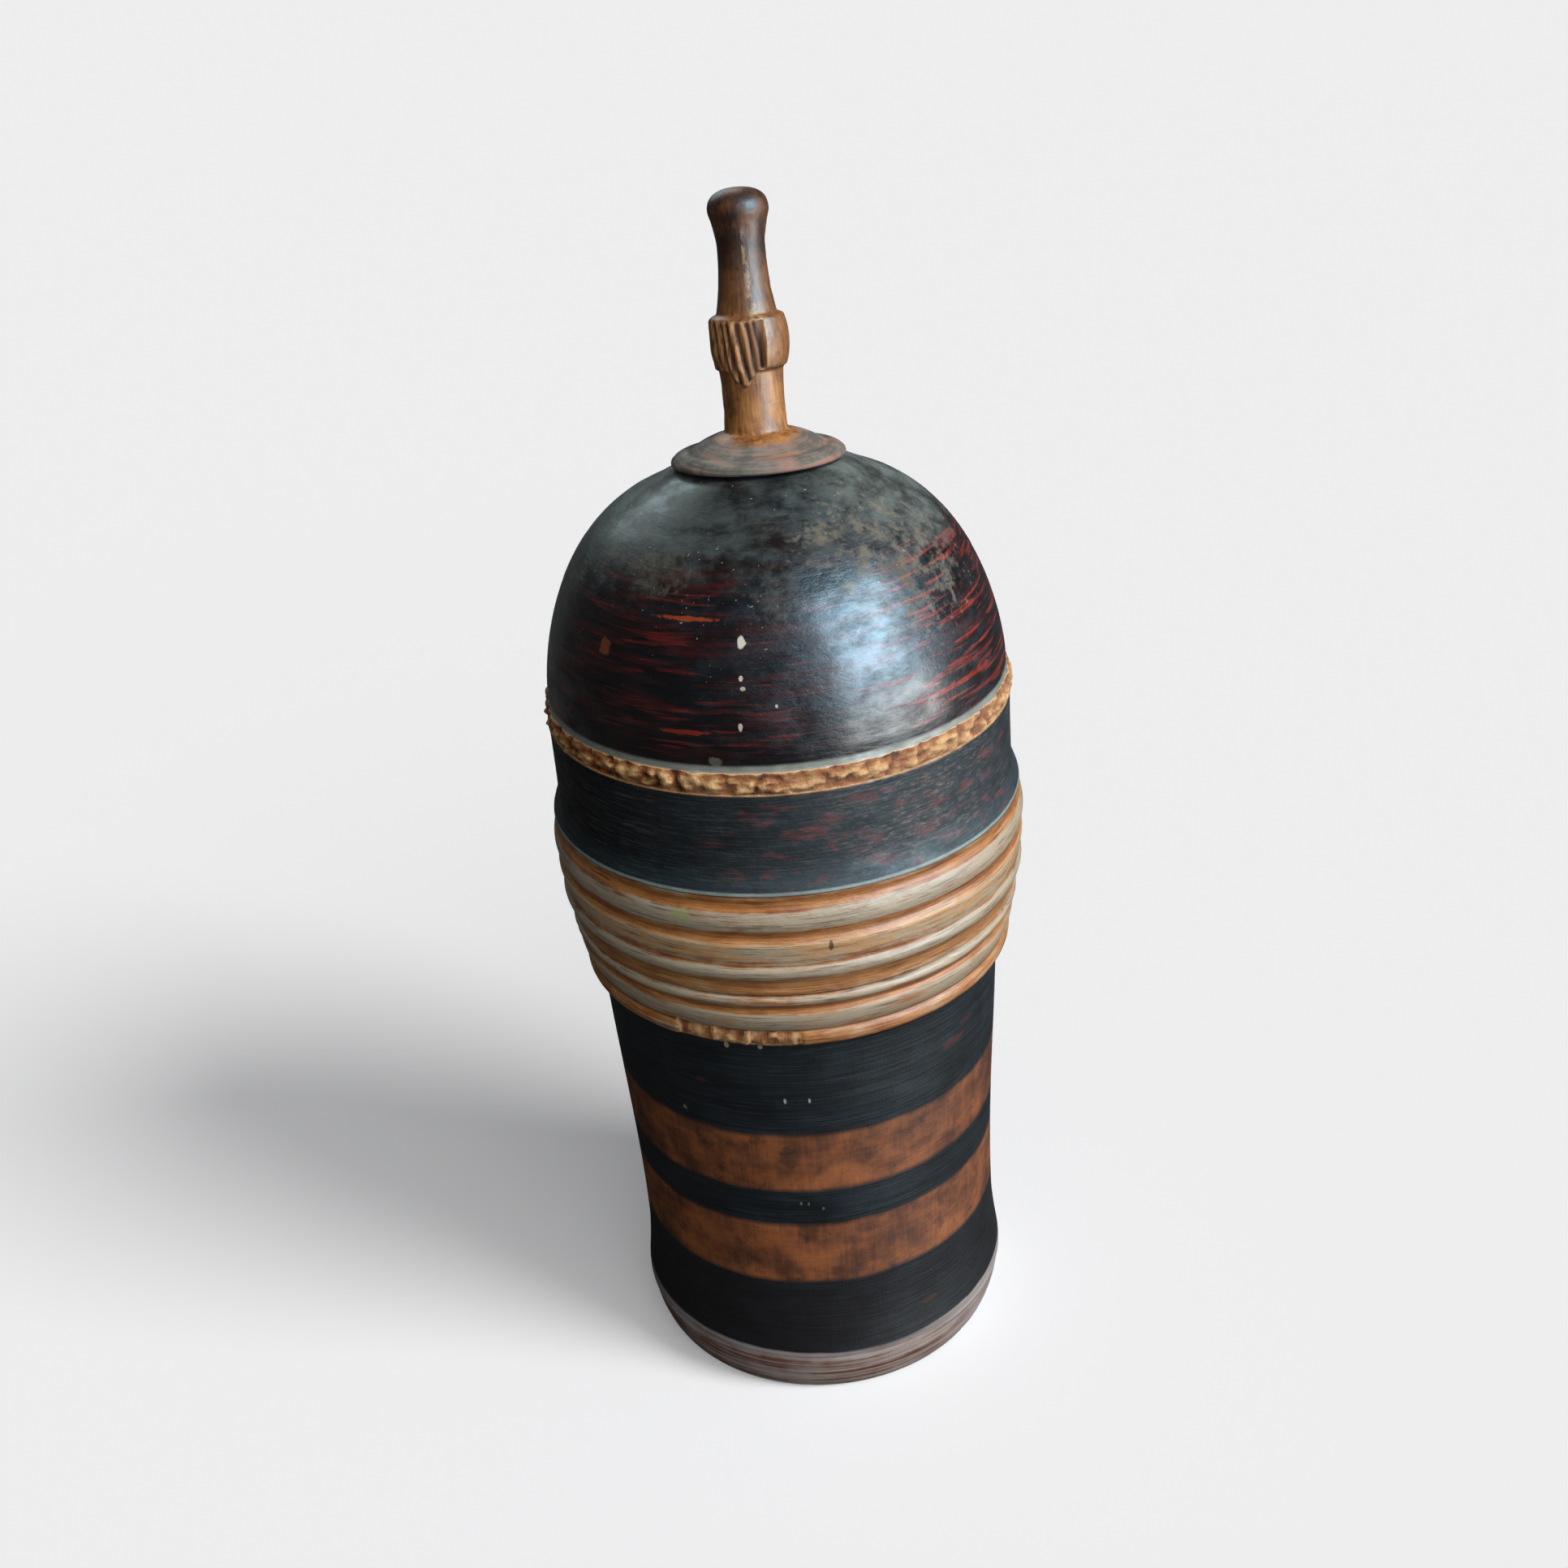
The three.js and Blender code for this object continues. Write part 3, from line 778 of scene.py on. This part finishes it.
def band_lacquer(finish, cloud, ring, blotch):
    """The upright band: dull and stroked, maroon, scuffed and scratched at the right, and pale blue at its
    foot, partly wear and partly a painted highlight.
    """
    mix, grain, z, angle = finish.mix, finish.grain, finish.z, finish.angle
    dull = mix(SOFT_BLACK, CHARCOAL, (ring * 0.7 + cloud * 0.5).over(0.5, 0.92))
    stroke = grain(8, 0.26, 3.0, 0.65, 19.0).over(0.5, 0.72)
    dull = mix(dull, STROKE_GREY, stroke * cloud * 0.75)
    maroon = grain(6, 2.0, 4.0, 0.6, 15.0).over(0.52, 0.66) * angle.between(-15, 130, 24)
    dull = mix(dull, MAROON, maroon * (0.5 + stroke * 0.5))
    scuffed = grain(2.2, 0.7, 4.0, 0.7, 51.0).over(0.52, 0.66) * angle.between(12, 56, 30)
    dull = mix(dull, SCUFF_GREY, scuffed * 0.34)
    dull = mix(dull, SLATE, (1 - z.over(131.0, 136.0)) * ring * 0.5)
    scratch = grain(3.2, 0.5, 2.0, 0.5, 21.0).over(0.66, 0.72) * finish.spot(32, 143, 16, 11, 0.9)
    dull = mix(dull, SCRATCH, scratch * 0.8)
    # Pale blue at the foot: partly rubbed wear, partly a painted highlight on the edge
    return mix(dull, PALE_BLUE_WEAR_AND_HIGHLIGHT, z.between(*PALE_FOOT, 0.4) * (blotch * 1.3 + ring * 0.5))


def lid_finish():
    finish = Finish("domed_lacquer")
    mix, grain, spot, z = finish.mix, finish.grain, finish.spot, finish.z
    ring = grain(30, 0.3, 3.0, 0.7)
    cloud = grain(12, 9, 4.0, 0.6, 2.0)
    blotch = grain(5, 5, 4.0, 0.65, 3.0)
    film = grain(7, 3.5, 5.0, 0.65, 31.0).over(0.3, 0.75)
    # Dust lies on the crown, thickest at its sides, and grime at the right
    crown = (z + (blotch - 0.5) * 22).over(180, 192)
    sides = finish.angle.math("ABSOLUTE").over(20, 62)
    veil = crown * (film * 0.3 + sides * (0.2 + film * 0.45))
    mottle = grain(2.6, 2.6, 5.0, 0.7, 3.0).over(0.42, 0.68)
    grime = spot(44, 184, 46, 20, 1.4).most(spot(24, 189, 26, 8, 1.2)) * mottle
    # Painted highlight: a pale line all round the lip of the dome
    edge = z.between(*WHITE_EDGE, 0.8) * (0.55 + blotch * 0.6)
    skin = dusted(finish, dome_lacquer(finish, cloud, ring), film, veil, grime)
    skin = finish.marked(skin, DOME_MARKS, 0.8)
    skin = mix(skin, LIP_HIGHLIGHT, edge)
    # Below the dome lie the band, the mouldings and, between dome and band, the broken bead
    band = z.between(*BAND, 0.3)
    foot = 1 - z.over(*MOULDINGS_TOP)
    bead = z.between(*BARE_BEAD, 0.3)
    skin = mix(skin, band_lacquer(finish, cloud, ring, blotch), band)
    skin = mix(skin, finish.marked(moulding_wood(finish), MOULDING_MARKS), foot)
    skin = mix(skin, raw_wood(finish), bead.most(finish.raw.over(0.1, 0.4)))
    bare = foot.most(bead)
    shine = 0.22 + ring * 0.14 + film * 0.28 + veil * 0.6 + grime * 0.4 + edge * 0.3 + band * 0.28
    rough = shine + bare * (0.5 - shine) + bead * 0.35
    coat = (1 - bare) * (1 - band * 0.85) * (0.5 - film * 0.5)
    relief = ring * 0.4 + grain(24, 1.4, 3.0, 0.5, 3.0) * 0.5 + grain(0.6, 0.6, 3.0) * 0.12
    relief = relief + film * 0.9 + blotch * crown * 0.3 + bead * grain(0.5, 0.7, 4.0, 0.6) * 2.0
    return finish.lay(skin, rough, relief, coat)


lid_material = lid_finish()
print("lid finish:", len(lid_material.node_tree.nodes), "nodes")

# %% [markdown]
# The finial was stained and then polished by fingers. It is orange-brown at the stem and darker
# towards the knob, its disc is grey with dust in rings, and the torn collar shows pale fibres, with
# painted shade nearly black in their furrows and browner at the recessed right. It leans, but its
# heights are read upright, which is close enough here.

# %% The finial's finish
STEM_BROWN = colour(104, 62, 28)
STEM_ORANGE = colour(212, 150, 84)
KNOB_DARK = colour(58, 35, 20)
KNOB_BROWN = colour(128, 82, 46)
FLAKE = colour(196, 172, 124)
DENT = colour(34, 20, 13)
DISC_GREY = colour(98, 92, 84)
DISC_DUST = colour(158, 158, 152)
DISC_ORANGE = colour(166, 96, 56)
FIBRE_PALE = colour(198, 146, 96)
FIBRE_BROWN = colour(128, 80, 44)
FURROW_SHADE = colour(52, 27, 14)


def polished_wood(finish, fibre, cloud):
    """Stem, collar, shaft and knob: orange below and dark above, flaked and dented by use."""
    mix, grain, z = finish.mix, finish.grain, finish.z
    wood = mix(STEM_BROWN, STEM_ORANGE, (fibre * 0.5 + cloud * 0.65).over(0.35, 0.85))
    knob = mix(KNOB_DARK, KNOB_BROWN, cloud.over(0.4, 0.7))
    wood = mix(wood, knob, (z + (cloud - 0.5) * 14).over(217, 238))
    flake = grain(1.1, 1.8, 4.0, 0.7, 7.0).over(0.45, 0.6)
    flake = flake * finish.angle.between(6, 48, 24) * z.between(219, 240, 8)
    wood = mix(wood, FLAKE, flake * 0.6)
    return mix(wood, DENT, grain(2.2, 1.0, 4.0, 0.65, 17.0).over(0.55, 0.75) * 0.5)


def disc_wood(finish, cloud):
    """The disc: grey with dust in rings, and orange where it is rubbed, at the right."""
    ring = finish.grain(16, 0.45, 3.0, 0.6)
    dusty = finish.mix(DISC_GREY, DISC_DUST, (ring * 0.5 + cloud * 0.5).over(0.4, 0.7))
    orange = finish.angle.between(5, 130, 50) * 0.12 + ring * 1.1 + cloud * 0.5
    return finish.mix(dusty, DISC_ORANGE, orange.over(0.84, 1.04) * 0.6)


def torn_wood(finish, strand):
    """The torn collar: pale fibres with painted shade dark in the furrows, and browner with painted shade
    towards the recessed right.
    """
    shaded = finish.angle.over(-22, 14)
    torn = finish.mix(FIBRE_PALE, FIBRE_BROWN, strand.over(0.4, 0.65).most(shaded * 0.8))
    # Painted shade: the deeper furrows and the recess at the right go nearly black
    furrow = finish.raw + (strand - 0.5) * 0.5 + shaded * 0.12
    return finish.mix(torn, FURROW_SHADE, furrow.over(0.68, 1.04))


def finial_finish():
    finish = Finish("fingered_wood")
    mix, grain, raw = finish.mix, finish.grain, finish.raw
    fibre = grain(0.7, 9, 4.0, 0.6)
    cloud = grain(4.5, 6, 3.0, 0.6, 2.0)
    strand = grain(0.45, 7, 3.0, 0.6, 4.0)
    disc = 1 - finish.z.over(STEM_FOOT + 0.2, STEM_FOOT + 0.9)
    torn = raw.over(0.05, 0.3)
    wood = mix(polished_wood(finish, fibre, cloud), disc_wood(finish, cloud), disc)
    wood = mix(wood, torn_wood(finish, strand), torn)
    rough = 0.44 + cloud * 0.16 + disc * 0.3 + torn * 0.3
    relief = fibre * 0.4 + grain(0.4, 2.5, 3.0) * 0.4 + cloud * 0.3 + raw * strand * 1.2
    return finish.lay(wood, rough, relief, (1 - disc) * (1 - torn) * 0.12)


finial_material = finial_finish()
print("finial finish:", len(finial_material.node_tree.nodes), "nodes")

# %% [markdown]
# With section, wear and finish at hand, the three pieces are turned. The steps are fine only where
# they show: below a millimetre on the outside, finer still in the broken bead and on the collar.

# %% Body, lid and finial
DRAFT = 1
BODY_TURNS = 360 // DRAFT
LID_TURNS = 384 // DRAFT
FINIAL_TURNS = 192 // DRAFT
# The steps are finer on the mouldings, which the body has above this height and the lid below the next
BODY_MOULDINGS = 92.0
LID_MOULDINGS = 130.3
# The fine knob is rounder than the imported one, so the finial sits this much lower to keep its height
SETTLED = 0.03


def body_step(z):
    """How long a step of the body's outside is at a height, both in mm."""
    return 0.45 if z > BODY_MOULDINGS else 0.9


def lid_step(z):
    """The same for the lid, finest in the broken bead."""
    if BEAD[0] - 0.3 < z < BEAD[1] + 0.3:
        return 0.36
    return 0.5 if z < LID_MOULDINGS else 0.95


def finial_step(z):
    """The same for the finial, finest on the collar."""
    return 0.2 if COLLAR[0] - 4 < z < COLLAR[1] + 1 else 0.32


body = turn("body", fair(sections["body"][0], body_step), BODY_TURNS, body_wear)
finished("turned_body", body, body_material)

lid = turn("lid", fair(sections["lid"][0], lid_step), LID_TURNS, lid_wear)
for vert in lid.verts:
    if vert.co.z > CONE_FOOT:
        radius = math.hypot(vert.co.x, vert.co.y)
        share = min(1.0, (CONE_RADIUS - radius) / (CONE_RADIUS - SEAT_RADIUS))
        vert.co.z -= vert.co.y * math.tan(CROWN_SLOPE) * max(0.0, share)
finished("turned_lid", lid, lid_material)

finial = turn("finial", fair(finial_section, finial_step), FINIAL_TURNS, finial_wear)
bmesh.ops.translate(finial, verts=finial.verts, vec=(0, finial_axis / MM, -SETTLED))
bmesh.ops.rotate(finial, verts=finial.verts, cent=(0, 0, 0), matrix=Matrix.Rotation(-LEAN, 3, "X"))
finished("turned_finial", finial, finial_material)

# %% [markdown]
# The studio. Two soft suns at the right light the box, and the first throws the long shadow. Three
# cards show only in its shine: a wide cool window at the right front, whose reflection runs down the
# dome, a low card and one behind. A white table and a white sky would light the dark side of so small
# a box and turn its black lacquer grey. So the floor and the sky are pale where the camera sees them,
# and dim in the light that they throw on the box.

# %% Floor, light and camera
FLOOR_REACH = 30.0
FLOOR_DIM = (0.09, 0.095, 0.1, 1)
FLOOR_PALE = (0.82, 0.85, 0.91, 1)
NO_GLOW = (0, 0, 0, 1)
WHITE_GLOW = (1, 1, 1, 1)
GLOW = 0.18
SUNLIGHT = (1.0, 0.96, 0.9)
WINDOW_BLUE = (0.52, 0.8, 1.0)
CARD_WHITE = (0.94, 0.98, 0.96)
CARD_BLUE = (0.75, 0.95, 1.0)
SKY_TINT = (0.97, 0.99, 1.0, 1)
SKY_DIM = 0.08
SKY_PALE = 0.86
# The lights look at the middle of the box, and the suns stand anywhere along their own line
MIDDLE = Vector((0, 0, 0.14))
SUN_DISTANCE = 2.0

stage_mesh = bmesh.new()
bmesh.ops.create_grid(stage_mesh, x_segments=1, y_segments=1, size=FLOOR_REACH)
floor_mesh = bpy.data.meshes.new("floor")
stage_mesh.to_mesh(floor_mesh)
stage_mesh.free()
floor = bpy.data.objects.new("floor", floor_mesh)
bpy.context.scene.collection.objects.link(floor)

floor_finish = Finish("pale_floor")
seen = floor_finish.node("ShaderNodeLightPath", {}, {}, "Is Camera Ray")
floor_mesh.materials.append(floor_finish.dress({
    "Base Color": floor_finish.mix(FLOOR_DIM, FLOOR_PALE, seen),
    "Emission Color": floor_finish.mix(NO_GLOW, WHITE_GLOW, seen),
    "Emission Strength": GLOW,
    "Roughness": 0.9,
    "Specular IOR Level": 0.0,
}))


def light(name, kind, azimuth, elevation, distance, energy, tint, **settings):
    """A light that looks at the middle of the box from an azimuth to the right of the front."""
    data = bpy.data.lights.new(name, kind)
    data.energy = energy
    data.color = tint
    for key, value in settings.items():
        setattr(data, key, value)
    made = bpy.data.objects.new(name, data)
    a, e = math.radians(azimuth), math.radians(elevation)
    way = Vector((math.sin(a) * math.cos(e), -math.cos(a) * math.cos(e), math.sin(e)))
    made.location = MIDDLE + way * distance
    made.rotation_euler = way.to_track_quat("Z", "Y").to_euler()
    bpy.context.scene.collection.objects.link(made)
    return made


def sun(name, azimuth, elevation, energy, spread):
    """A sun that lights the box but shows in no reflection, with a spread in degrees."""
    spread = math.radians(spread)
    made = light(name, "SUN", azimuth, elevation, SUN_DISTANCE, energy, SUNLIGHT, angle=spread)
    made.visible_glossy = False


def card(name, azimuth, elevation, distance, energy, tint, wide, high):
    """A bright card that only shows in reflections."""
    shape = {"shape": "RECTANGLE", "size": wide, "size_y": high}
    made = light(name, "AREA", azimuth, elevation, distance, energy, tint, **shape)
    made.visible_diffuse = False


sun("soft_sun", 61, 38, 2.7, 24)
sun("front_fill", 24, 35, 1.15, 50)
card("window", 53, 26, 1.2, 72.0, WINDOW_BLUE, 0.9, 0.95)
card("low_card", 54, -7, 0.5, 3.6, CARD_WHITE, 0.42, 0.14)
card("back_card", -158, 38, 1.0, 4.0, CARD_BLUE, 0.7, 0.6)

world = bpy.data.worlds.new("even_sky")
sky = Tree(world)
background = sky.inside.nodes["Background"]
sky_seen = sky.node("ShaderNodeLightPath", {}, {}, "Is Camera Ray")
sky_range = {"Value": sky_seen, "To Min": SKY_DIM, "To Max": SKY_PALE}
sky.set(background.inputs["Strength"], sky.node("ShaderNodeMapRange", {}, sky_range, "Result"))
sky.set(background.inputs["Color"], SKY_TINT)
bpy.context.scene.world = world
bpy.context.scene.view_settings.view_transform = "Standard"

# The camera stands a third of a metre in front of the axis, above the box, and looks down at it, a
# little tilted. Its focal length and the photograph's width are in pixels of the photograph
CAMERA_PLACE = Vector((0, -0.32904, 0.29396))
YAW, PITCH, ROLL = (math.radians(a) for a in (-0.07, 26.66, 4.82))
FOCAL_PIXELS = 2206
PHOTO_PIXELS = 1932
SENSOR = 36.0
NEAREST = 0.01

ahead = Vector((math.sin(YAW) * math.cos(PITCH), math.cos(YAW) * math.cos(PITCH), -math.sin(PITCH)))
level = Vector((math.cos(YAW), -math.sin(YAW), 0))
down = ahead.cross(level)
right = level * math.cos(ROLL) + down * math.sin(ROLL)
up = level * math.sin(ROLL) - down * math.cos(ROLL)
camera_data = bpy.data.cameras.new("camera")
camera_data.sensor_width = SENSOR
camera_data.lens = SENSOR * FOCAL_PIXELS / PHOTO_PIXELS
camera_data.clip_start = NEAREST
camera = bpy.data.objects.new("camera", camera_data)
camera.matrix_world = Matrix((
    (right.x, up.x, -ahead.x, CAMERA_PLACE.x),
    (right.y, up.y, -ahead.y, CAMERA_PLACE.y),
    (right.z, up.z, -ahead.z, CAMERA_PLACE.z),
    (0, 0, 0, 1),
))
bpy.context.scene.collection.objects.link(camera)
bpy.context.scene.camera = camera
